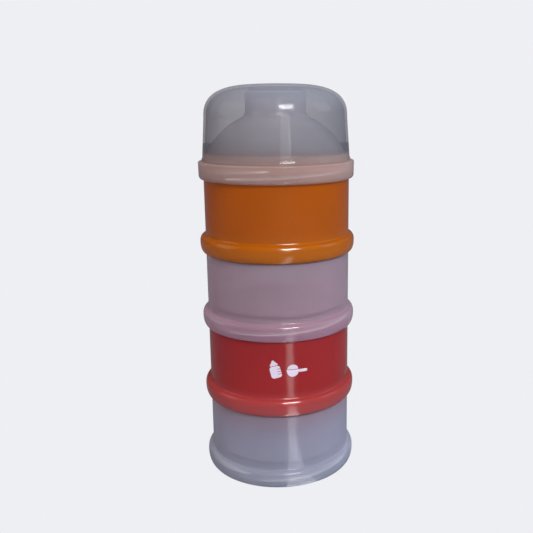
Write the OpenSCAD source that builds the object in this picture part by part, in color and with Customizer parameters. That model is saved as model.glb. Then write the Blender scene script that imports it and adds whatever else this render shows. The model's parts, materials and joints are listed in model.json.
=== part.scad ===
// Stacking milk-powder dispenser: four screw-together compartments, a pouring funnel and a clear cap.
// The origin is the middle of the base compartment's bottom rim, with +Z up the stack. Millimetres.

/* [Compartment] */
// Height that each compartment adds to the stack
pitch = 35.7; // [30:0.1:45]
// Outside radius of a compartment's wall
wall_r = 34; // [33.8:0.1:34.4]
// Thickness of the compartment walls
wall_t = 1.5; // [1.2:0.1:1.8]
// Thickness of a compartment's floor
floor_t = 1.4; // [1:0.1:1.8]
// Inner fillet between a compartment's wall and its floor
floor_fillet = 2.2; // [1:0.1:4]
// Visible gap between a shoulder and the skirt above it
stack_gap = 0.3; // [0.2:0.05:0.6]

/* [Skirt bead] */
// Largest outside radius of the rolled bead around the skirt
bead_r = 36.6; // [36.2:0.1:37.5]
// Outside radius of the skirt's bottom edge
foot_r = 34.8; // [34.6:0.1:35.2]
// Height at which the bead reaches its full radius
bead_low = 4.5; // [3.5:0.1:5]
// Height at which the bead starts to close in again
bead_mid = 5.2; // [5:0.1:6]
// Height at which the bead has met the wall
bead_top = 8.9; // [8.8:0.1:11]
// Inside radius of the plain lead-in at the skirt's mouth
lip_r = 33.75; // [33.7:0.05:33.9]
// Height of the plain lead-in
lip_h = 1.5; // [1:0.1:1.6]
// Inside radius of the skirt above the lead-in
skirt_r = 34.4; // [34.3:0.05:34.6]
// Height at which the skirt's inside starts to close in on the neck
skirt_h = 6; // [5.8:0.1:6.2]
// Inside radius of the socket that takes the neck's rim
socket_r = 32.7; // [32.6:0.05:32.8]

/* [Neck and thread] */
// Outside radius of the neck that the next piece screws onto
neck_r = 32.2; // [32:0.05:32.25]
// Thickness of the neck
neck_t = 1.4; // [1.2:0.1:1.8]
// Height of the neck's rim above the skirt edge of the piece screwed onto it
neck_h = 8; // [7.5:0.1:8.2]
// Crest radius of the ridges on the neck
neck_crest_r = 33.4; // [33.2:0.05:33.4]
// Crest radius of the ridges inside a skirt
skirt_crest_r = 32.7; // [32.6:0.05:32.9]
// Number of thread starts
starts = 3; // [2:1:3]
// Height that one turn of the thread climbs
lead = 8.4; // [8.2:0.1:9]
// Width of a ridge where it leaves its wall
ridge_root_w = 1.25; // [0.9:0.05:1.25]
// Width of a ridge along its crest
ridge_crest_w = 0.6; // [0.4:0.05:0.7]
// Angle between the thread starts of one compartment and the next when both are tight
stack_turn = 11; // [0:1:30]

/* [Seal] */
// Thickness of the soft ring between a neck's rim and the floor above it
seal_t = 0.9; // [0.6:0.1:1]
// Gap left above and below the soft ring
seal_gap = 0.05; // [0.02:0.01:0.1]

/* [Funnel] */
// Outside radius of the funnel's grip ring at its bottom
ring_low_r = 36.2; // [36:0.1:36.8]
// Outside radius of the funnel's grip ring at its top
ring_high_r = 36.3; // [36.1:0.05:37]
// How far the grip ring reaches below the shoulder line of the top compartment
ring_drop = 1.6; // [1:0.1:2]
// Height of the grip ring
ring_h = 8; // [7.8:0.1:9]
// Outside radius of the collar that the cap is pushed onto
collar_r = 33.15; // [33.1:0.01:33.2]
// Radius of the funnel's domed wall, seen in section
dome_r = 31.8; // [31:0.1:33]
// Distance of that radius' centre from the stack's axis
dome_axis_r = 3.3; // [3:0.1:4]
// Outside radius of the pouring spout
spout_r = 14; // [12:0.5:15]
// Height of the spout's mouth above the ring's top
spout_h = 31.1; // [28:0.1:31.5]
// Thickness of the funnel's walls
funnel_t = 1.4; // [1.2:0.1:1.6]

/* [Cap] */
// Outside radius of the cap where its wall starts
cap_r = 34.2; // [34.1:0.05:34.5]
// Outside radius of the cap where its wall turns into the crown
crown_r = 33; // [33:0.1:33.8]
// Height of the cap from its rim to the top of its crown
cap_h = 34.4; // [34.2:0.1:40]
// Height of the rounded crown
crown_h = 15.1; // [12:0.1:16]
// Thickness of the cap
cap_t = 1.1; // [1:0.05:1.2]

/* [Printed mark] */
// Angle of the mark's middle from the front of the stack, towards the right
mark_turn = 7; // [-20:1:20]
// Height of the mark's middle above the red compartment's bottom edge
mark_z = 22.6; // [20:0.1:26]
// Thickness of the print
mark_t = 0.12; // [0.08:0.01:0.2]

/* [Hidden] */
$fn = 96;

// Colours of the mouldings
clear_colour = [0.62, 0.61, 0.68, 0.75];
red_colour = [0.66, 0.17, 0.18];
orange_colour = [0.74, 0.36, 0.08];
cap_colour = [0.62, 0.65, 0.70, 0.45];
seal_colour = [0.86, 0.86, 0.88];

// Heights inside one compartment, from its skirt's bottom edge
recess_h = neck_h + seal_t + 2 * seal_gap;
floor_z = recess_h + floor_t;
shoulder_z = pitch - stack_gap;
rim_z = pitch + neck_h;
inner_r = wall_r - wall_t;
neck_in_r = neck_r - neck_t;

// Bead: a long rounding below, a rounder one above and a small fillet into the wall
fillet_h = 1;
round_h = bead_top - fillet_h - bead_mid;
fillet_w = 0.35 * (bead_r - wall_r);
round_w = bead_r - wall_r - fillet_w;

// Grip ring of the funnel: its top face and the deck behind it
ring_z = ring_h;
deck_t = 1.5;

// Thread: ridges keep clear of the edges that they start and end by
ridge_step = 6;
ridge_fade = 18;
ridge_bite = 0.3;
thread_pitch = lead / starts;
skirt_ridge = [2.4, skirt_h - 0.6];
neck_ridge = [0.75, ring_z - deck_t - ring_drop - 1];
front = -90;
front_ridge_z = 3.2;

// Funnel, from the bottom edge of its grip ring
funnel_z = 4 * pitch - ring_drop;
ceiling_z = ring_drop + recess_h;
collar_z = ceiling_z + 0.6;
collar_bore_r = neck_r + 0.3;
dome_z = -1.8;
dome_start = 25.3;
dome_end = 62;
spout_fillet = 3.4;
spout_z = ring_h + spout_h;
spout_foot_z = 30.5;

// Cap, from its own rim
cap_gap = 0.05;
cap_z = funnel_z + ring_h + cap_gap;
cap_flare = 0.4;
cap_socket_r = collar_r + 0.05;
cap_socket_h = 3.2;
crown_z = cap_h - crown_h;
crown_p = 3.5;
crown_q = 2.6;
plug_r = spout_r - funnel_t - 0.4;
plug_t = 1;
plug_z = spout_z - ring_h - 2.2;

// Printed mark
bottle_w = 4.8;
bottle_h = 5.6;
scoop_r = 2.9;
mark_gap = 0.3;

// Points of an arc with half-axes a and b about c, from angle s to angle e
function arc(c, a, b, s, e, n = 8) =
    [for (i = [0:n]) let (t = s + (e - s) * i / n) [c[0] + a * cos(t), c[1] + b * sin(t)]];

// The skirt's outside, from its bottom edge up to the wall
function skirt_outline() = concat(
    arc([foot_r, bead_low], bead_r - foot_r, bead_low, -90, 0),
    arc([bead_r - round_w, bead_mid], round_w, round_h, 0, 84),
    arc([wall_r + fillet_w, bead_top], fillet_w, fillet_h, 264, 180, 5));

// The section of one compartment, open at the neck and with a socket under its floor
module cup_section() {
    polygon(concat(
        skirt_outline(),
        [[wall_r, shoulder_z - 0.5], [wall_r - 0.5, shoulder_z], [neck_r, shoulder_z],
         [neck_r, rim_z - 0.5], [neck_r - 0.5, rim_z], [neck_in_r + 0.3, rim_z], [neck_in_r, rim_z - 0.3],
         [neck_in_r, shoulder_z], [inner_r, shoulder_z - (inner_r - neck_in_r)]],
        arc([inner_r - floor_fillet, floor_z + floor_fillet], floor_fillet, floor_fillet, 0, -90, 6),
        [[0, floor_z], [0, recess_h], [socket_r, recess_h], [socket_r, skirt_h + skirt_r - socket_r],
         [skirt_r, skirt_h], [skirt_r, lip_h + 0.7], [lip_r, lip_h], [lip_r, 0.3], [lip_r + 0.3, 0]]));
}

// One helical ridge on a wall of radius r, out or in to crest, while its middle climbs from z0 to z1.
// It crosses the front of the stack at the height front_z.
module ridge(r, crest, z0, z1, front_z) {
    root = crest > r ? r - ridge_bite : r + ridge_bite;
    a0 = front + (z0 - front_z) * 360 / lead;
    n = round((z1 - z0) * 360 / lead / ridge_step);
    sweep = (z1 - z0) * 360 / lead;
    rings = [for (i = [0:n])
        let (t = sweep * i / n, a = a0 + t, z = z0 + (z1 - z0) * i / n,
             k = min(1, t / ridge_fade, (sweep - t) / ridge_fade),
             top = r + (crest - r) * max(0.08, k),
             w = ridge_root_w / 2, c = ridge_crest_w / 2)
        [[root, z - w], [top, z - c], [top, z + c], [root, z + w], a]];
    points = [for (s = rings) for (j = [0:3]) [s[j][0] * cos(s[4]), s[j][0] * sin(s[4]), s[j][1]]];
    inward = crest < r;
    sides = [for (i = [0:n - 1]) for (j = [0:3])
        let (p = 4 * i + j, q = 4 * i + (j + 1) % 4) [p, q, q + 4, p + 4]];
    ends = [[3, 2, 1, 0], [4 * n, 4 * n + 1, 4 * n + 2, 4 * n + 3]];
    faces = concat(sides, ends);
    polyhedron(points, inward ? [for (f = faces) [f[3], f[2], f[1], f[0]]] : faces, convexity = 8);
}

// All the starts of a thread: one ridge each, spaced evenly around the wall
module thread(r, crest, span, front_z) {
    for (i = [0:starts - 1])
        rotate([0, 0, i * 360 / starts]) ridge(r, crest, span[0], span[1], front_z);
}

// One compartment; every one is the same moulding in another colour
module cup() {
    rotate_extrude() cup_section();
    thread(skirt_r, skirt_crest_r, skirt_ridge, front_ridge_z);
    neck_front = front_ridge_z + stack_turn * lead / 360 + thread_pitch / 2;
    translate([0, 0, pitch]) thread(neck_r, neck_crest_r, neck_ridge, neck_front);
}

// Places one compartment on its level of the stack
module stacked_cup(level) {
    translate([0, 0, level * pitch]) rotate([0, 0, -stack_turn * level]) cup();
}

module base_cup() { color(clear_colour) stacked_cup(0); }
module red_cup() { color(red_colour) stacked_cup(1); }
module clear_cup() { color(clear_colour) stacked_cup(2); }
module orange_cup() { color(orange_colour) stacked_cup(3); }

// The soft ring that sits on the neck of the compartment at this level
module seal(level) {
    color(seal_colour)
        translate([0, 0, (level + 1) * pitch + neck_h + seal_gap])
            difference() {
                cylinder(h = seal_t, r = neck_r);
                translate([0, 0, -1]) cylinder(h = seal_t + 2, r = neck_in_r);
            }
}

module seal_1() { seal(0); }
module seal_2() { seal(1); }
module seal_3() { seal(2); }
module seal_4() { seal(3); }

// The funnel's outside, from the bottom of the grip ring up to the spout's mouth
function funnel_outline() = concat(
    arc([ring_low_r - 1.4, 1.8], 1.4, 1.8, -90, 0, 6),
    arc([ring_high_r - 0.6, ring_z - 0.6], 0.6, 0.6, 0, 90, 5),
    [[collar_r, ring_z], [collar_r, collar_z], [collar_r - 0.5, collar_z + 0.5]],
    arc([dome_axis_r, dome_z], dome_r, dome_r, dome_start, dome_end, 16),
    arc([spout_r + spout_fillet, spout_foot_z], spout_fillet, spout_fillet, 242, 180, 6),
    arc([spout_r - funnel_t / 2, spout_z - funnel_t / 2], funnel_t / 2, funnel_t / 2, 0, 180, 8));

// The funnel's inside, from the spout's mouth down to the bottom of the grip ring
function funnel_hollow() = concat(
    arc([spout_r + spout_fillet, spout_foot_z], spout_fillet + funnel_t, spout_fillet + funnel_t, 180, 242, 6),
    arc([dome_axis_r, dome_z], dome_r - funnel_t, dome_r - funnel_t, dome_end, dome_start + 1, 16),
    [[neck_in_r, ceiling_z], [collar_bore_r, ceiling_z],
     [collar_bore_r, ring_z - deck_t], [skirt_r, ring_z - deck_t], [skirt_r, 0.4], [skirt_r + 0.4, 0]]);

module funnel() {
    color(clear_colour)
        translate([0, 0, funnel_z]) {
            rotate_extrude() polygon(concat(funnel_outline(), funnel_hollow()));
            funnel_front = ring_drop + front_ridge_z + 4 * stack_turn * lead / 360 - thread_pitch;
            thread(skirt_r, skirt_crest_r, [2.1, ring_z - deck_t - 0.8], funnel_front);
        }
}

// Half of the crown's section: a rounded curve between a square corner and an ellipse
function crown(a, b, s, e, n = 28) =
    [for (i = [0:n]) let (t = s + (e - s) * i / n)
        [a * pow(max(0, cos(t)), 2 / crown_p), crown_z + b * pow(max(0, sin(t)), 2 / crown_q)]];

module cap() {
    color(cap_colour)
        translate([0, 0, cap_z]) rotate_extrude() {
            polygon(concat(
                [[cap_r + cap_flare - 0.2, 0], [cap_r + cap_flare, 0.2], [cap_r + cap_flare, 0.8], [cap_r, 1.8]],
                crown(crown_r, crown_h, 0, 90),
                crown(crown_r - cap_t, crown_h - cap_t, 90, 0),
                [[cap_socket_r - 0.1, cap_socket_h + 0.4], [cap_socket_r, cap_socket_h],
                 [cap_socket_r, 0.3], [cap_socket_r + 0.3, 0]]));
            difference() {
                translate([plug_r - plug_t, plug_z]) square([plug_t, cap_h - plug_z - cap_t / 2]);
                translate([plug_r - plug_t - 1, cap_h - cap_t / 2]) square([plug_t + 2, cap_t]);
            }
        }
}

// Points of a rectangle with round corners, about its own middle
function rounded(w, h, r) = concat(
    arc([w / 2 - r, h / 2 - r], r, r, 0, 90, 6), arc([r - w / 2, h / 2 - r], r, r, 90, 180, 6),
    arc([r - w / 2, r - h / 2], r, r, 180, 270, 6), arc([w / 2 - r, r - h / 2], r, r, 270, 360, 6));

// A feeding bottle with a scale on its side, drawn flat about its body's middle
module mark_bottle() {
    collar_y = bottle_h / 2 + mark_gap + 0.45;
    teat_y = collar_y + 0.45;
    difference() {
        polygon(rounded(bottle_w, bottle_h, 1.2));
        for (i = [-1:1]) translate([bottle_w / 2 - 1.6, i * 1.2 - 0.15]) square([2, 0.3]);
    }
    translate([0, collar_y]) polygon(rounded(3.6, 0.9, 0.4));
    polygon(arc([0, teat_y], 1.3, 1.1, 0, 180, 12));
    translate([0, teat_y + 1.1]) circle(r = 0.6);
}

// A heaped measuring scoop, drawn flat about the middle of its bowl's rim
module mark_scoop() {
    polygon(concat([[scoop_r, 0]], arc([0, -0.9], scoop_r - 0.3, 2.4, 0, -180, 16), [[-scoop_r, 0]]));
    polygon(arc([0, mark_gap], scoop_r - 0.4, 2.2, 0, 180, 16));
    translate([scoop_r + 1.8, -0.65]) polygon(rounded(4.2, 1.3, 0.6));
}

// The bottle and the scoop side by side, about the mark's middle
module mark_outline() {
    translate([-5.8, -1.2]) rotate(14) mark_bottle();
    translate([1.9, -0.4]) mark_scoop();
}

module printed_mark() {
    color("white")
        translate([0, 0, pitch + mark_z]) rotate([0, 0, mark_turn])
            intersection() {
                rotate([90, 0, 0]) linear_extrude(height = wall_r + 2) mark_outline();
                difference() {
                    cylinder(h = 20, r = wall_r + mark_t, center = true);
                    cylinder(h = 22, r = wall_r, center = true);
                }
            }
}

base_cup();
red_cup();
clear_cup();
orange_cup();
funnel();
cap();
seal_1();
seal_2();
seal_3();
seal_4();
printed_mark();
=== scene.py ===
"""The looks of a stacking milk-powder dispenser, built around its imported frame."""

import json
import logging
import math
from dataclasses import dataclass, replace
from enum import Enum

import bmesh
import bpy
from mathutils import Matrix, Vector

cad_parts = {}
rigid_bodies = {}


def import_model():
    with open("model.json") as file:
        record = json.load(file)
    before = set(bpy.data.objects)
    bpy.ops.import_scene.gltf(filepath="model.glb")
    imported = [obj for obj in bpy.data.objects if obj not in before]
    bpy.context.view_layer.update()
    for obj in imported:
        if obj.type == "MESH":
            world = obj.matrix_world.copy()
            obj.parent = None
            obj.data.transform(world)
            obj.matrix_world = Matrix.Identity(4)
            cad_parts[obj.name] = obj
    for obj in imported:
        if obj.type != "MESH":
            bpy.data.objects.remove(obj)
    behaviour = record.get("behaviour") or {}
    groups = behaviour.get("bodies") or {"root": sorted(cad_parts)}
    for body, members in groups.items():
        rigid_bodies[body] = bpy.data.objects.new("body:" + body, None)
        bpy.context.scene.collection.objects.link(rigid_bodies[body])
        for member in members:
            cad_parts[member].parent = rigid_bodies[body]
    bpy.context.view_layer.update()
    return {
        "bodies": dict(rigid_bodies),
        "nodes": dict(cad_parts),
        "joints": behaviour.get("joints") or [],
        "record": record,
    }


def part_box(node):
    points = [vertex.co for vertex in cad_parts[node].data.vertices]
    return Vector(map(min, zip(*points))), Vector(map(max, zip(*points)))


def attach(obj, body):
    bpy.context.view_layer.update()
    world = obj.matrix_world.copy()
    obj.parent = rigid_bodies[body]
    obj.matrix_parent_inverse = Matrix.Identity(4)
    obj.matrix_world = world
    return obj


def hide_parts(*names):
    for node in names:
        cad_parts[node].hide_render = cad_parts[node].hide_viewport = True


LOG = logging.getLogger("dispenser")
MM = 0.001
# Facets around every turned piece, and the sharpest edge, in degrees, that is shaded smooth.
TURN_STEPS = 160
SMOOTH_ANGLE = 34
# Vertices closer than this, in metres, are one.
SAME_PLACE = 1e-7
# Straight runs longer than the first get a point this close to each of their ends.
LONG_RUN_MM = 2.5
BRACE_MM = 0.25
# Height over which a finish's tones, painted light among them, are spread.
STACK_MM = 190.0
PLASTIC_IOR = 1.49
# A face this far inside a wall belongs to a ridge.
OFF_WALL_MM = 0.02
# Colour behind and under the stack, and of the board that catches its light.
BACKDROP = "EEEFF3"
BOARD = "8E9096"
# Half the floor's width and its depth under the stack, in metres.
FLOOR_HALF = 3.0
FLOOR_DROP = 0.0002
# Colour and strength of the room on the left and on the right, and the share of it that mirrors show.
ROOM_SIDES = (("E2C8B8", 0.8), ("C4CCDC", 1.2))
MIRROR_SHARE = 0.2

Point = tuple[float, float]


class Facing(Enum):
    """Which way a thread ridge stands out of its wall."""

    OUTWARDS = 1
    INWARDS = -1


def linear(code: str) -> tuple[float, float, float, float]:
    """Turns an sRGB hex colour to linear light.

    Args:
        code: Six hex digits, red first.

    Returns:
        The colour with an alpha of 1, as Blender's sockets take it.
    """
    parts = [int(code[i:i + 2], 16) / 255 for i in (0, 2, 4)]
    red, green, blue = (c / 12.92 if c <= 0.04045 else ((c + 0.055) / 1.055) ** 2.4 for c in parts)
    return red, green, blue, 1.0


def add_node(tree: bpy.types.NodeTree, kind: str, inputs: dict | None = None, **settings) -> bpy.types.Node:
    """Adds one shader node with its settings, values and links.

    Args:
        tree: The node tree to add to.
        kind: The node's type, without the ShaderNode prefix.
        inputs: Socket name or number to a value, or to the output socket that feeds it.
        **settings: Attributes of the node itself.

    Returns:
        The new node.
    """
    node = tree.nodes.new("ShaderNode" + kind)
    for name, value in settings.items():
        setattr(node, name, value)
    for key, value in (inputs or {}).items():
        if isinstance(value, bpy.types.NodeSocket):
            tree.links.new(value, node.inputs[key])
        else:
            node.inputs[key].default_value = value
    return node


def arc(centre: Point, a: float, b: float, start: float, end: float, count: int = 8) -> list[Point]:
    """Points along part of an ellipse, in a section's plane.

    Args:
        centre: Distance from the axis and height of the ellipse's centre.
        a: Half-width of the ellipse.
        b: Half-height of the ellipse.
        start: First angle, in degrees.
        end: Last angle, in degrees.
        count: Number of steps.

    Returns:
        The points, both ends included.
    """
    angles = [math.radians(start + (end - start) * i / count) for i in range(count + 1)]
    return [(centre[0] + a * math.cos(t), centre[1] + b * math.sin(t)) for t in angles]


def braced(section: list[Point]) -> list[Point]:
    """Adds a point close to each end of every long straight run, so that it is shaded straight."""
    points = [section[0]]
    for (r0, z0), (r1, z1) in zip(section, section[1:]):
        length = math.hypot(r1 - r0, z1 - z0)
        if length > LONG_RUN_MM:
            for share in (BRACE_MM / length, 1 - BRACE_MM / length):
                points.append((r0 + (r1 - r0) * share, z0 + (z1 - z0) * share))
        points.append((r1, z1))
    return points


def turned(section: list[Point], closed: bool) -> bmesh.types.BMesh:
    """Turns a section about the stack's axis.

    Args:
        section: Radius and height of each point, in millimetres.
        closed: True for a ring, False for a section that starts and ends on the axis.

    Returns:
        A closed shell, in metres, with its faces pointing outwards.
    """
    shell = bmesh.new()
    verts = [shell.verts.new((r * MM, 0, z * MM)) for r, z in braced(section)]
    edges = [shell.edges.new(pair) for pair in zip(verts, verts[1:])]
    if closed:
        edges.append(shell.edges.new((verts[-1], verts[0])))
    bmesh.ops.spin(shell, geom=verts + edges, angle=math.tau, steps=TURN_STEPS,
                   axis=(0, 0, 1), cent=(0, 0, 0), use_merge=True)
    bmesh.ops.remove_doubles(shell, verts=shell.verts, dist=SAME_PLACE)
    bmesh.ops.recalc_face_normals(shell, faces=shell.faces)
    return shell


def as_object(shell: bmesh.types.BMesh, name: str) -> bpy.types.Object:
    """Puts a finished shell into the scene under a name and frees it."""
    mesh = bpy.data.meshes.new(name)
    shell.to_mesh(mesh)
    shell.free()
    piece = bpy.data.objects.new(name, mesh)
    bpy.context.scene.collection.objects.link(piece)
    return piece


def smoothed(piece: bpy.types.Object) -> bpy.types.Object:
    """Shades a piece smooth, with its sharp edges kept crisp."""
    piece.data.shade_smooth()
    piece.data.set_sharp_from_angle(angle=math.radians(SMOOTH_ANGLE))
    return piece


def joined(body: bpy.types.Object, extra: bpy.types.Object) -> bpy.types.Object:
    """Unites a second shell with a piece, and drops the second.

    Args:
        body: The piece that stays.
        extra: The shell that is merged into it.

    Returns:
        The piece, with one closed mesh.
    """
    union = body.modifiers.new("union", "BOOLEAN")
    union.operation = "UNION"
    union.solver = "MANIFOLD"
    union.object = extra
    bpy.context.view_layer.update()
    evaluated = body.evaluated_get(bpy.context.evaluated_depsgraph_get())
    merged = bpy.data.meshes.new_from_object(evaluated)
    body.modifiers.clear()
    old, body.data = body.data, merged
    merged.name = body.name
    bpy.data.meshes.remove(old)
    bpy.data.objects.remove(extra)
    return body


@dataclass(frozen=True)
class Polypropylene:
    """Injection-moulded polypropylene: waxy, a little see-through, with a satin skin from the mould.

    The melt leaves slow waves in the skin, so that a highlight breaks up along the wall. The colour
    by height has painted light in it: tints cast by neighbouring pieces, and lighter beads, are painted in.
    """

    name: str
    slot: str
    tones_and_painted_light: tuple[tuple[float, str], ...]
    stops: float
    edge_stops: float
    roughness: float = 0.13
    mottle_mm: float = 26.0
    mottle: float = 0.12
    wave_mm: float = 7.0
    wave_height_mm: float = 0.05
    grain_mm: float = 0.45
    grain_height_mm: float = 0.004
    glow: float = 0.25
    gloss_gain: float = 0.03
    gloss_loss: float = 0.05
    tilt_blend: float = 0.35

    def tone_and_painted_light(self, tree: bpy.types.NodeTree, place: bpy.types.NodeSocket) -> bpy.types.NodeSocket:
        """Gives the colour at each height of the stack: the plastic's own, with painted light mixed in."""
        height = add_node(tree, "SeparateXYZ", {"Vector": place}).outputs["Z"]
        share = add_node(tree, "MapRange", {"Value": height, "From Max": STACK_MM * MM})
        ramp = add_node(tree, "ValToRGB", {"Fac": share.outputs["Result"]})
        elements = ramp.color_ramp.elements
        elements.remove(elements[1])
        for index, (level, code) in enumerate(self.tones_and_painted_light):
            element = elements[0] if index == 0 else elements.new(level / STACK_MM)
            element.position = level / STACK_MM
            element.color = linear(code)
        return ramp.outputs["Color"]

    def build(self) -> bpy.types.Material:
        """Builds the material's nodes.

        Returns:
            The new material.
        """
        material = bpy.data.materials.new(self.name)
        material.use_nodes = True
        tree = material.node_tree
        tree.nodes.clear()
        place = add_node(tree, "TexCoord").outputs["Object"]
        mottle = add_node(tree, "TexNoise", {"Vector": place, "Scale": 1 / (self.mottle_mm * MM),
                                             "Detail": 2.0, "Roughness": 0.5}).outputs["Fac"]
        value = add_node(tree, "MapRange", {"Value": mottle, "To Min": 1 - self.mottle,
                                            "To Max": 1 + self.mottle}).outputs["Result"]
        shade = add_node(tree, "HueSaturation", {"Value": value,
                                                 "Color": self.tone_and_painted_light(tree, place)}).outputs["Color"]
        waves = add_node(tree, "TexNoise", {"Vector": place, "Scale": 1 / (self.wave_mm * MM),
                                            "Detail": 1.0})
        grain = add_node(tree, "TexNoise", {"Vector": place, "Scale": 1 / (self.grain_mm * MM),
                                            "Detail": 2.0})
        bumped = add_node(tree, "Bump", {"Height": waves.outputs["Fac"],
                                         "Distance": self.wave_height_mm * MM})
        skin = add_node(tree, "Bump", {"Height": grain.outputs["Fac"], "Distance": self.grain_height_mm * MM,
                                       "Normal": bumped.outputs["Normal"]})
        gloss = add_node(tree, "MapRange", {"Value": mottle, "To Min": self.roughness - self.gloss_gain,
                                            "To Max": self.roughness + self.gloss_loss})
        tilt = add_node(tree, "LayerWeight", {"Blend": self.tilt_blend})
        stops = add_node(tree, "MapRange", {"Value": tilt.outputs["Facing"], "To Min": self.stops,
                                            "To Max": self.edge_stops})
        face = add_node(tree, "BsdfPrincipled", {"Base Color": shade, "Roughness": gloss.outputs["Result"],
                                                 "IOR": PLASTIC_IOR, "Normal": skin.outputs["Normal"]})
        glow = add_node(tree, "BsdfTranslucent", {"Color": shade})
        lit = add_node(tree, "MixShader", {0: self.glow, 1: face.outputs["BSDF"], 2: glow.outputs["BSDF"]})
        clear = add_node(tree, "BsdfTransparent", {"Color": (1, 1, 1, 1)})
        mixed = add_node(tree, "MixShader", {0: stops.outputs["Result"], 1: clear.outputs["BSDF"],
                                             2: lit.outputs["Shader"]})
        add_node(tree, "OutputMaterial", {"Surface": mixed.outputs["Shader"]})
        return material


# From blue-grey at the foot, the frosted tones turn mauve and pink beside the red and orange cups and at the
# funnel's ring and collar. That tint is painted light: the colour the coloured pieces beside them cast onto
# the milky plastic. The dome and spout, above 156 mm, are whiter.
FROSTED = Polypropylene("frosted_polypropylene", "frosted_clear",
                        ((0, "B6BCD0"), (24, "B2B2C8"), (37, "B49CAC"), (71, "C29CB4"),
                         (82, "B8A0B0"), (120, "B4A0AE"), (141, "B49C98"), (151, "D2B6B0"),
                         (156, "D2CED4"), (185, "DCDAE4")), 0.46, 0.8)
# Ridges stop more light, as thicker plastic does. Their white tone is painted light, lifting faces that lie
# in the dim hollow inside the skirt.
RIDGE = replace(FROSTED, name="frosted_polypropylene_ridge_painted_light", stops=0.9, edge_stops=0.95,
                tones_and_painted_light=((0, "FFFFFF"), (185, "FFFFFF")))
# The red skirt and bead, up to about 47 mm, are painted lighter and pinker than the wall: painted light on
# the bead.
RED = Polypropylene("red_polypropylene", "red_plastic",
                    ((35, "C05C5E"), (43, "B84444"), (47, "AC2A2C"), (72, "AA2A2E")), 0.85, 0.95)
# The orange skirt and bead, up to about 120 mm, are painted lighter and yellower than the wall: painted
# light on the bead.
ORANGE = Polypropylene("orange_polypropylene", "orange_plastic",
                       ((106, "C26E12"), (115, "BC6408"), (120, "B85A04"), (150, "B85A04")), 0.85, 0.95)
# The cap's rim, up to 152.3 mm, is painted pink: painted light, the colour of the funnel's ring and collar
# beneath it. It stays when the cap is lifted. Above the rim the cap is grey, lighter towards the top of the
# crown.
CLEAR = Polypropylene("clarified_polypropylene", "clear_plastic",
                      ((148, "AA9A98"), (152.3, "A49896"), (153.4, "70747E"), (172, "7C828E"),
                       (182, "A0A6B4")), 0.22, 0.6, roughness=0.08, wave_height_mm=0.02,
                      grain_height_mm=0.001)
SILICONE = Polypropylene("soft_silicone", "seal_silicone", ((0, "BEBBC1"),), 0.7, 0.8, roughness=0.55)
INK = Polypropylene("pad_printed_ink", "white_ink", ((0, "D8CEE0"),), 1.0, 1.0, roughness=0.5, glow=0.05)


def dress(piece: bpy.types.Object, finish: Polypropylene, body: str, *nodes: str) -> None:
    """Gives a piece its finish and its place in the frame.

    Args:
        piece: The finished piece.
        finish: Its material.
        body: The body that it moves with.
        *nodes: The CAD nodes that it stands for.
    """
    material = bpy.data.materials.get(finish.name) or finish.build()
    piece.data.materials.clear()
    piece.data.materials.append(material)
    if nodes:
        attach(piece, body)
        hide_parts(*nodes)
    LOG.info("%s: %d faces, in %s", piece.name, len(piece.data.polygons), finish.name)


def lighten_ridges(piece: bpy.types.Object, finish: Polypropylene, radii: tuple[float, float],
                   heights: tuple[float, float]) -> None:
    """Gives the ridges inside a skirt their own finish: less see-through, as the thicker plastic there is,
    and painted white, which is painted light lifting faces that lie in the skirt's dim hollow.

    Args:
        piece: The dressed piece.
        finish: The finish of the ridges.
        radii: Radii between which only the ridges lie, in millimetres.
        heights: Heights between which only the ridges lie, in millimetres.
    """
    piece.data.materials.append(bpy.data.materials.get(finish.name) or finish.build())
    for face in piece.data.polygons:
        radius = math.hypot(face.center.x, face.center.y) / MM
        if radii[0] < radius < radii[1] and heights[0] < face.center.z / MM < heights[1]:
            face.material_index = 1


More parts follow.
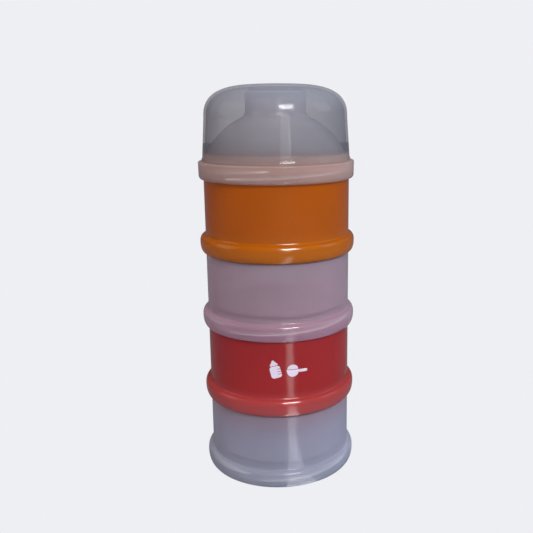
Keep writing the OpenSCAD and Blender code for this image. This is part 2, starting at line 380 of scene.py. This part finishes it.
@dataclass
class Thread:
    """A right-handed thread of several starts, raised on a wall. Sizes are in millimetres."""

    wall_r: float
    crest_r: float
    low: float
    high: float
    front_z: float
    starts: int = 3
    lead: float = 8.4
    root_w: float = 1.25
    crest_w: float = 0.6
    bite: float = 0.3
    fade: float = 18.0
    step: float = 3.0
    least: float = 0.08

    def facing(self) -> Facing:
        """Says whether the ridges stand out of the wall or into its hollow."""
        return Facing.OUTWARDS if self.crest_r > self.wall_r else Facing.INWARDS

    def ridge(self, shell: bmesh.types.BMesh, turn: float) -> None:
        """Winds one ridge into a shell.

        Args:
            shell: The shell that takes the ridge.
            turn: Angle of this start from the first, in degrees.
        """
        sweep = (self.high - self.low) * 360 / self.lead
        steps = round(sweep / self.step)
        begin = -90 + (self.low - self.front_z) * 360 / self.lead + turn
        root = self.wall_r - self.facing().value * self.bite
        half_root, half_crest = self.root_w / 2, self.crest_w / 2
        section = [(root, -half_root), (self.crest_r, -half_crest),
                   (self.crest_r, half_crest), (root, half_root)]
        verts = [shell.verts.new((r * MM, 0, (z + self.low) * MM)) for r, z in section]
        face = shell.faces.new(verts)
        bmesh.ops.rotate(shell, verts=verts, cent=(0, 0, 0),
                         matrix=Matrix.Rotation(math.radians(begin), 3, "Z"))
        rise = (self.high - self.low) * MM / steps
        rings = [verts]
        front = verts + list(face.edges) + [face]
        for _ in range(steps):
            front = bmesh.ops.spin(shell, geom=front, angle=math.radians(sweep / steps), steps=1,
                                   axis=(0, 0, 1), cent=(0, 0, 0), dvec=(0, 0, rise))["geom_last"]
            rings.append([part for part in front if isinstance(part, bmesh.types.BMVert)])
        for i, ring in enumerate(rings):
            share = min(1.0, i * self.step / self.fade, (steps - i) * self.step / self.fade)
            self.lower(ring, max(self.least, share))

    def lower(self, ring: list[bmesh.types.BMVert], share: float) -> None:
        """Sinks a ring's crest towards the wall, to share of its height."""
        for vert in ring:
            flat = Vector((vert.co.x, vert.co.y, 0))
            height = (flat.length / MM - self.wall_r) * self.facing().value
            if height > 0 and share < 1:
                radius = self.wall_r + self.facing().value * height * share
                scale = radius * MM / flat.length
                vert.co.x, vert.co.y = vert.co.x * scale, vert.co.y * scale

    def build(self, name: str) -> bpy.types.Object:
        """Winds every start of the thread.

        Args:
            name: Name of the loose shell.

        Returns:
            The ridges as one object, ready to be united with their wall.
        """
        shell = bmesh.new()
        for start in range(self.starts):
            self.ridge(shell, start * 360 / self.starts)
        bmesh.ops.recalc_face_normals(shell, faces=shell.faces)
        return as_object(shell, name)


@dataclass
class Compartment:
    """One screw-together compartment: a bead-edged skirt, a floor, a wall and a threaded neck."""

    level: int
    node: str
    finish: Polypropylene
    pitch: float
    bead_r: float
    wall_r: float = 34.0
    wall_t: float = 1.5
    floor_t: float = 1.4
    floor_fillet: float = 2.2
    stack_gap: float = 0.3
    foot_r: float = 34.8
    bead_low: float = 4.5
    bead_mid: float = 5.2
    bead_top: float = 8.9
    bead_fillet_h: float = 1.0
    lip_r: float = 33.75
    lip_h: float = 1.5
    skirt_r: float = 34.4
    skirt_h: float = 6.0
    socket_r: float = 32.7
    neck_r: float = 32.2
    neck_t: float = 1.4
    neck_h: float = 8.0
    seal_t: float = 0.9
    seal_gap: float = 0.05
    stack_turn: float = 11.0
    lip_rise: float = 0.7
    chamfer: float = 0.3
    edge_round: float = 0.5
    neck_round: float = 0.3
    skirt_crest_r: float = 32.7
    skirt_thread_low: float = 2.4
    skirt_thread_end: float = 0.6
    skirt_front_z: float = 3.2
    neck_crest_r: float = 33.4
    neck_thread_low: float = 0.75
    neck_thread_high: float = 3.9
    ridge_low: float = 0.75

    def skirt(self) -> list[Point]:
        """The outside of the skirt, from its bottom edge up to the wall."""
        fillet_w = 0.35 * (self.bead_r - self.wall_r)
        round_w = self.bead_r - self.wall_r - fillet_w
        round_h = self.bead_top - self.bead_fillet_h - self.bead_mid
        return (arc((self.foot_r, self.bead_low), self.bead_r - self.foot_r, self.bead_low, -90, 0, 14)
                + arc((self.bead_r - round_w, self.bead_mid), round_w, round_h, 0, 84, 14)
                + arc((self.wall_r + fillet_w, self.bead_top), fillet_w, self.bead_fillet_h, 264, 180, 8))

    def section(self) -> list[Point]:
        """The whole section, from the underside's middle round the outside to the floor's middle."""
        recess = self.neck_h + self.seal_t + 2 * self.seal_gap
        floor = recess + self.floor_t
        shoulder = self.pitch - self.stack_gap
        rim = self.pitch + self.neck_h
        inner = self.wall_r - self.wall_t
        neck_in = self.neck_r - self.neck_t
        edge, soft, fillet = self.edge_round, self.neck_round, self.floor_fillet
        return ([(0, recess), (self.socket_r, recess),
                 (self.socket_r, self.skirt_h + self.skirt_r - self.socket_r), (self.skirt_r, self.skirt_h),
                 (self.skirt_r, self.lip_h + self.lip_rise), (self.lip_r, self.lip_h),
                 (self.lip_r, self.chamfer), (self.lip_r + self.chamfer, 0)]
                + self.skirt()
                + arc((self.wall_r - edge, shoulder - edge), edge, edge, 0, 90, 5)
                + arc((self.neck_r + soft, shoulder + soft), soft, soft, 270, 180, 4)
                + arc((self.neck_r - edge, rim - edge), edge, edge, 0, 90, 5)
                + arc((neck_in + soft, rim - soft), soft, soft, 90, 180, 4)
                + [(neck_in, shoulder), (inner, shoulder - (inner - neck_in))]
                + arc((inner - fillet, floor + fillet), fillet, fillet, 0, -90, 8)
                + [(0, floor)])

    def threads(self) -> list[Thread]:
        """The ridges inside the skirt and those around the neck."""
        skirt = Thread(self.skirt_r, self.skirt_crest_r, self.skirt_thread_low,
                       self.skirt_h - self.skirt_thread_end, self.skirt_front_z)
        drift = self.stack_turn * skirt.lead / 360 + skirt.lead / skirt.starts / 2
        neck = Thread(self.neck_r, self.neck_crest_r, self.pitch + self.neck_thread_low,
                      self.pitch + self.neck_thread_high, self.pitch + self.skirt_front_z + drift)
        return [skirt, neck]

    def build(self) -> bpy.types.Object:
        """Builds and dresses the compartment on its level of the stack."""
        shell = turned(self.section(), closed=False)
        piece = as_object(shell, self.node + "_body")
        for thread in self.threads():
            joined(piece, thread.build("ridges"))
        turn = Matrix.Rotation(math.radians(-self.stack_turn * self.level), 4, "Z")
        piece.data.transform(Matrix.Translation((0, 0, self.level * self.pitch * MM)) @ turn)
        smoothed(piece)
        dress(piece, self.finish, self.node, self.node)
        if self.finish is FROSTED:
            foot = self.level * self.pitch
            # The ridge faces get the white tone of painted light.
            lighten_ridges(piece, RIDGE, (self.neck_r, self.skirt_r - OFF_WALL_MM),
                           (foot + self.lip_h + self.ridge_low, foot + self.skirt_h))
        return piece


@dataclass
class SealRing:
    """A soft ring with rounded edges, between a neck's rim and the floor above it."""

    index: int
    outer_r: float = 32.2
    inner_r: float = 30.8
    soft_r: float = 0.3

    def build(self) -> bpy.types.Object:
        """Builds and dresses the ring where its CAD node lies."""
        node = f"seal_{self.index}"
        low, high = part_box(node)
        bottom, top = low.z / MM, high.z / MM
        s = self.soft_r
        section = (arc((self.outer_r - s, bottom + s), s, s, -90, 0, 5)
                   + arc((self.outer_r - s, top - s), s, s, 0, 90, 5)
                   + arc((self.inner_r + s, top - s), s, s, 90, 180, 5)
                   + arc((self.inner_r + s, bottom + s), s, s, 180, 270, 5))
        piece = smoothed(as_object(turned(section, closed=True), node + "_ring"))
        dress(piece, SILICONE, node, node)
        return piece


@dataclass
class Funnel:
    """The pouring funnel: grip ring, collar, dome and spout in one moulding.

    Heights are from its bottom.
    """

    bottom: float
    ring_low_r: float = 36.2
    ring_high_r: float = 36.3
    ring_drop: float = 1.6
    ring_h: float = 8.0
    deck_t: float = 1.5
    collar_r: float = 33.15
    collar_bore_r: float = 32.5
    skirt_r: float = 34.4
    ceiling: float = 10.6
    dome_r: float = 31.8
    dome_axis_r: float = 3.3
    dome_z: float = -1.8
    dome_start: float = 25.3
    dome_end: float = 62.0
    spout_r: float = 14.0
    spout_z: float = 39.1
    spout_foot_z: float = 30.5
    spout_fillet: float = 3.4
    wall_t: float = 1.4
    neck_in_r: float = 30.8
    foot_w: float = 1.4
    foot_h: float = 1.8
    ring_round: float = 0.6
    collar_round: float = 0.25
    collar_rise: float = 0.6
    collar_cut: float = 0.5
    skirt_round: float = 0.4
    chamfer: float = 0.3
    skirt_crest_r: float = 32.7
    thread_low: float = 2.1
    thread_end: float = 0.8
    thread_front_z: float = 3.2
    stack_turn: float = 44.0
    ridge_low: float = 0.5

    def section(self) -> list[Point]:
        """The whole section, up the outside and down the inside."""
        t, lip = self.wall_t, self.wall_t / 2
        dome = (self.dome_axis_r, self.dome_z)
        foot = (self.spout_r + self.spout_fillet, self.spout_foot_z)
        collar = self.ceiling + self.collar_rise
        edge, soft, inside = self.ring_round, self.collar_round, self.skirt_round
        under = self.ring_h - self.deck_t
        turn = 180 + self.dome_end
        return (arc((self.ring_low_r - self.foot_w, self.foot_h), self.foot_w, self.foot_h, -90, 0, 10)
                + arc((self.ring_high_r - edge, self.ring_h - edge), edge, edge, 0, 90, 6)
                + arc((self.collar_r + soft, self.ring_h + soft), soft, soft, 270, 180, 4)
                + [(self.collar_r, collar), (self.collar_r - self.collar_cut, collar + self.collar_cut)]
                + arc(dome, self.dome_r, self.dome_r, self.dome_start, self.dome_end, 28)
                + arc(foot, self.spout_fillet, self.spout_fillet, turn, 180, 10)
                + arc((self.spout_r - lip, self.spout_z - lip), lip, lip, 0, 180, 12)
                + arc(foot, self.spout_fillet + t, self.spout_fillet + t, 180, turn, 10)
                + arc(dome, self.dome_r - t, self.dome_r - t, self.dome_end, self.dome_start + 1, 28)
                + [(self.neck_in_r, self.ceiling), (self.collar_bore_r, self.ceiling),
                   (self.collar_bore_r, under)]
                + arc((self.skirt_r - inside, under - inside), inside, inside, 90, 0, 4)
                + [(self.skirt_r, inside), (self.skirt_r + self.chamfer, 0)])

    def build(self) -> bpy.types.Object:
        """Builds and dresses the funnel on top of the highest compartment."""
        piece = as_object(turned(self.section(), closed=True), "funnel_body")
        thread = Thread(self.skirt_r, self.skirt_crest_r, self.thread_low,
                        self.ring_h - self.deck_t - self.thread_end, 0)
        drift = self.stack_turn * thread.lead / 360 - thread.lead / thread.starts
        thread.front_z = self.ring_drop + self.thread_front_z + drift
        joined(piece, thread.build("ridges"))
        piece.data.transform(Matrix.Translation((0, 0, self.bottom * MM)))
        smoothed(piece)
        dress(piece, FROSTED, "funnel", "funnel")
        top = self.bottom + self.ring_h - self.deck_t - self.skirt_round
        # The ridge faces get the white tone of painted light.
        lighten_ridges(piece, RIDGE, (self.collar_bore_r, self.skirt_r - OFF_WALL_MM),
                       (self.bottom + self.ridge_low, top))
        return piece


@dataclass
class Cap:
    """The clear domed cap, with a ring inside its crown that closes the spout.

    Heights are from its rim.
    """

    bottom: float
    height: float
    wall_r: float = 34.2
    flare: float = 0.4
    crown_r: float = 33.0
    crown_h: float = 15.1
    wall_t: float = 1.1
    socket_r: float = 33.2
    socket_h: float = 3.2
    round_across: float = 3.5
    round_up: float = 2.6
    plug_r: float = 12.2
    plug_t: float = 1.0
    plug_z: float = 28.9
    plug_bite: float = 0.1
    rim_round: float = 0.2
    rim_h: float = 0.8
    neck_in: float = 0.12
    neck_h: float = 1.2
    flare_h: float = 1.8
    socket_step: float = 0.1
    socket_rise: float = 0.4
    chamfer: float = 0.3

    def crown(self, a: float, b: float, start: float, end: float, count: int = 40) -> list[Point]:
        """Points of a crown between a square corner and an ellipse.

        Args:
            a: Radius where the crown starts.
            b: Height of the crown.
            start: First angle, in degrees.
            end: Last angle, in degrees.
            count: Number of steps.

        Returns:
            The points, both ends included.
        """
        points = []
        for i in range(count + 1):
            t = math.radians(start + (end - start) * i / count)
            across = max(0.0, math.cos(t)) ** (2 / self.round_across)
            up = max(0.0, math.sin(t)) ** (2 / self.round_up)
            points.append((a * across if across > 1e-6 else 0.0, self.height - self.crown_h + b * up))
        return points

    def section(self) -> list[Point]:
        """The shell's section, down the inside from the axis and up the outside back to it."""
        rim = self.wall_r + self.flare
        return (self.crown(self.crown_r - self.wall_t, self.crown_h - self.wall_t, 90, 0)
                + [(self.socket_r - self.socket_step, self.socket_h + self.socket_rise),
                   (self.socket_r, self.socket_h), (self.socket_r, self.chamfer),
                   (self.socket_r + self.chamfer, 0)]
                + [(rim - self.rim_round, 0), (rim, self.rim_round), (rim, self.rim_h),
                   (rim - self.neck_in, self.neck_h), (self.wall_r, self.flare_h)]
                + self.crown(self.crown_r, self.crown_h, 0, 90))

    def plug(self) -> list[Point]:
        """The section of the ring that closes the spout, with a rounded lip, sunk into the crown."""
        lip = self.plug_t / 2
        top = self.height - self.wall_t / 2 - self.plug_bite
        return ([(self.plug_r - self.plug_t, top)]
                + arc((self.plug_r - lip, self.plug_z + lip), lip, lip, 180, 360, 8)
                + [(self.plug_r, top)])

    def build(self) -> bpy.types.Object:
        """Builds and dresses the cap over the funnel."""
        piece = as_object(turned(self.section(), closed=False), "cap_body")
        joined(piece, as_object(turned(self.plug(), closed=True), "plug"))
        piece.data.transform(Matrix.Translation((0, 0, self.bottom * MM)))
        smoothed(piece)
        dress(piece, CLEAR, "cap", "cap")
        return piece


@dataclass(frozen=True)
class TableGlare:
    """A patch of the table that shines in the light: its middle's distance, its size and its radiance."""

    middle: float
    length: float
    width: float
    radiance: float


TABLE_GLARES = (TableGlare(62, 54, 15, 6.0), TableGlare(125, 72, 21, 4.2), TableGlare(220, 118, 36, 4.0))


@dataclass
class Studio:
    """The camera, the lights and the pale floor. Lengths are in millimetres, angles in degrees."""

    distance: float = 322.56
    height: float = 174.1
    pitch: float = 13.302
    yaw: float = 2.11
    roll: float = -0.408
    lens: float = 46.114
    shift: float = -0.0672
    sensor: float = 36.0
    aim_height: float = 90.0
    window_range: float = 950.0
    window_rise: float = 36.0
    wall_rise: float = 8.0
    glare_azimuth: float = 16.0
    glare_lift: float = 0.6
    side_azimuth: float = 84.0
    side_range: float = 1000.0

    def camera(self) -> None:
        """Places the camera in front of the stack, a little above its middle."""
        yaw, pitch, roll = (math.radians(v) for v in (self.yaw, self.pitch, self.roll))
        ahead = Vector((math.sin(yaw) * math.cos(pitch), math.cos(yaw) * math.cos(pitch),
                        -math.sin(pitch)))
        right = ahead.cross(Vector((0, 0, 1))).normalized()
        up = right.cross(ahead)
        side = math.cos(roll) * right + math.sin(roll) * up
        top = -math.sin(roll) * right + math.cos(roll) * up
        data = bpy.data.cameras.new("camera")
        data.lens, data.sensor_width, data.shift_x = self.lens, self.sensor, self.shift
        camera = bpy.data.objects.new("camera", data)
        camera.matrix_world = Matrix((side, top, -ahead)).transposed().to_4x4()
        camera.location = Vector((0, -self.distance, self.height)) * MM
        bpy.context.scene.collection.objects.link(camera)
        bpy.context.scene.camera = camera

    def panel(self, name: str, place: Vector, target: Vector, size: tuple[float, float],
              radiance: float, lights: bool = True, shows: bool = True) -> bpy.types.Object:
        """Adds a white rectangular light that the camera doesn't see.

        Args:
            name: The light's name.
            place: Its middle.
            target: The point that it faces.
            size: Its width and height.
            radiance: How bright it looks, where 1 is white.
            lights: False for one that only shows in reflections.
            shows: False for one that doesn't show in reflections.

        Returns:
            The new light.
        """
        data = bpy.data.lights.new(name, "AREA")
        data.shape = "RECTANGLE"
        data.size, data.size_y = size[0] * MM, size[1] * MM
        data.energy = radiance * math.pi * data.size * data.size_y
        lamp = bpy.data.objects.new(name, data)
        lamp.matrix_world = (target - place).to_track_quat("-Z", "Y").to_matrix().to_4x4()
        lamp.location = place * MM
        lamp.visible_camera = False
        lamp.visible_diffuse = lights
        lamp.visible_glossy = shows
        bpy.context.scene.collection.objects.link(lamp)
        return lamp

    def around(self, azimuth: float, elevation: float, distance: float) -> Vector:
        """A place around the stack: azimuth is counted from the front towards the right."""
        turn, lift = math.radians(azimuth), math.radians(elevation)
        level = math.cos(lift)
        return Vector((math.sin(turn) * level, -math.cos(turn) * level, math.sin(lift))) * distance

    def lights(self) -> None:
        """Sets up a window with two panes, its glare on a wall and the table, and one on each side."""
        centre = Vector((0, 0, self.aim_height))
        window = centre + self.around(19, self.window_rise, self.window_range)
        self.panel("key", window, centre, (330, 300), 22.0, shows=False)
        for name, azimuth, rise, size, radiance in (
                ("left_pane", 12.5, self.window_rise, (180, 300), 50.0),
                ("right_pane", 25.5, self.window_rise, (150, 300), 50.0),
                ("wall_glare", 13, self.wall_rise, (190, 190), 4.5),
                ("wall_glare_edge", 20.5, self.wall_rise, (32, 190), 12.0)):
            place = centre + self.around(azimuth, rise, self.window_range)
            self.panel(name, place, centre, size, radiance, lights=False)
        for index, glare in enumerate(TABLE_GLARES):
            place = self.around(self.glare_azimuth, 0, glare.middle) + Vector((0, 0, self.glare_lift))
            lamp = self.panel(f"table_glare_{index}", place, place + Vector((0, 0, 1)),
                              (glare.width, glare.length), glare.radiance, lights=False)
            lamp.rotation_euler = (math.pi, 0, math.radians(self.glare_azimuth))
        for name, azimuth, rise, size, radiance in (
                ("left_window", -self.side_azimuth, 24, (560, 620), 1.2),
                ("right_window", self.side_azimuth, 26, (460, 460), 1.5)):
            self.panel(name, centre + self.around(azimuth, rise, self.side_range), centre, size, radiance)

    def world(self) -> None:
        """Lights the room dimly, brighter on the right, and shows the camera an even pale backdrop."""
        world = bpy.data.worlds.new("room")
        bpy.context.scene.world = world
        world.use_nodes = True
        tree = world.node_tree
        tree.nodes.clear()
        across = add_node(tree, "SeparateXYZ", {"Vector": add_node(tree, "TexCoord").outputs["Generated"]})
        side = add_node(tree, "MapRange", {"Value": across.outputs["X"], "From Min": -1.0})
        mirrored = add_node(tree, "LightPath").outputs["Is Glossy Ray"]
        walls = []
        for colour, strength in ROOM_SIDES:
            seen = add_node(tree, "MapRange", {"Value": mirrored, "To Min": strength,
                                               "To Max": MIRROR_SHARE * strength})
            walls.append(add_node(tree, "Background", {"Color": linear(colour),
                                                       "Strength": seen.outputs["Result"]}))
        room = add_node(tree, "MixShader", {0: side.outputs["Result"], 1: walls[0].outputs["Background"],
                                            2: walls[1].outputs["Background"]})
        backdrop = add_node(tree, "Background", {"Color": linear(BACKDROP), "Strength": 1.0})
        mixed = add_node(tree, "MixShader", {0: self.in_plain_view(tree), 1: room.outputs["Shader"],
                                             2: backdrop.outputs["Background"]})
        add_node(tree, "OutputWorld", {"Surface": mixed.outputs["Shader"]})

    def in_plain_view(self, tree: bpy.types.NodeTree) -> bpy.types.NodeSocket:
        """Tells what the camera sees directly from what it sees through the plastic."""
        path = add_node(tree, "LightPath")
        direct = add_node(tree, "Math", {0: path.outputs["Transparent Depth"], 1: 0.5},
                          operation="LESS_THAN")
        both = add_node(tree, "Math", {0: path.outputs["Is Camera Ray"], 1: direct.outputs["Value"]},
                        operation="MULTIPLY")
        return both.outputs["Value"]

    def floor(self) -> None:
        """Lays the pale floor that the stack stands on."""
        shell = bmesh.new()
        bmesh.ops.create_grid(shell, x_segments=1, y_segments=1, size=FLOOR_HALF)
        floor = as_object(shell, "floor")
        floor.data.transform(Matrix.Translation((0, 0, -FLOOR_DROP)))
        material = bpy.data.materials.new("pale_floor")
        material.use_nodes = True
        tree = material.node_tree
        tree.nodes.clear()
        board = add_node(tree, "BsdfDiffuse", {"Color": linear(BOARD)})
        pale = add_node(tree, "Emission", {"Color": linear(BACKDROP), "Strength": 1.0})
        mixed = add_node(tree, "MixShader", {0: self.in_plain_view(tree), 1: board.outputs["BSDF"],
                                             2: pale.outputs["Emission"]})
        add_node(tree, "OutputMaterial", {"Surface": mixed.outputs["Shader"]})
        floor.data.materials.append(material)

    def build(self) -> None:
        """Builds the whole studio."""
        scene = bpy.context.scene
        scene.view_settings.view_transform = "Standard"
        scene.cycles.transparent_max_bounces = 32
        self.camera()
        self.world()
        self.floor()
        self.lights()


class Dispenser:
    """The whole stack, from the lowest compartment to the cap."""

    def __init__(self, frame: dict) -> None:
        """Reads the stack's main sizes off the frame."""
        base_low, base_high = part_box("base_cup")
        red_low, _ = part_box("red_cup")
        funnel_low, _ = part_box("funnel")
        cap_low, cap_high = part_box("cap")
        self.nodes = frame["nodes"]
        self.pitch = (red_low.z - base_low.z) / MM
        self.bead_r = base_high.x / MM
        self.funnel_z = funnel_low.z / MM
        self.cap_z = cap_low.z / MM
        self.cap_h = (cap_high.z - cap_low.z) / MM

    def build(self) -> None:
        """Builds every piece in order, from the bottom up."""
        finishes = {"base_cup": FROSTED, "red_cup": RED, "clear_cup": FROSTED, "orange_cup": ORANGE}
        for level, (node, finish) in enumerate(finishes.items()):
            Compartment(level, node, finish, self.pitch, self.bead_r).build()
            SealRing(level + 1).build()
        Funnel(self.funnel_z).build()
        Cap(self.cap_z, self.cap_h).build()
        dress(self.nodes["printed_mark"], INK, "red_cup")


def main() -> None:
    """Builds the studio and the dispenser."""
    logging.basicConfig(level=logging.INFO, format="%(message)s")
    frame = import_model()
    Studio().build()
    Dispenser(frame).build()


if __name__ == "__main__":
    main()
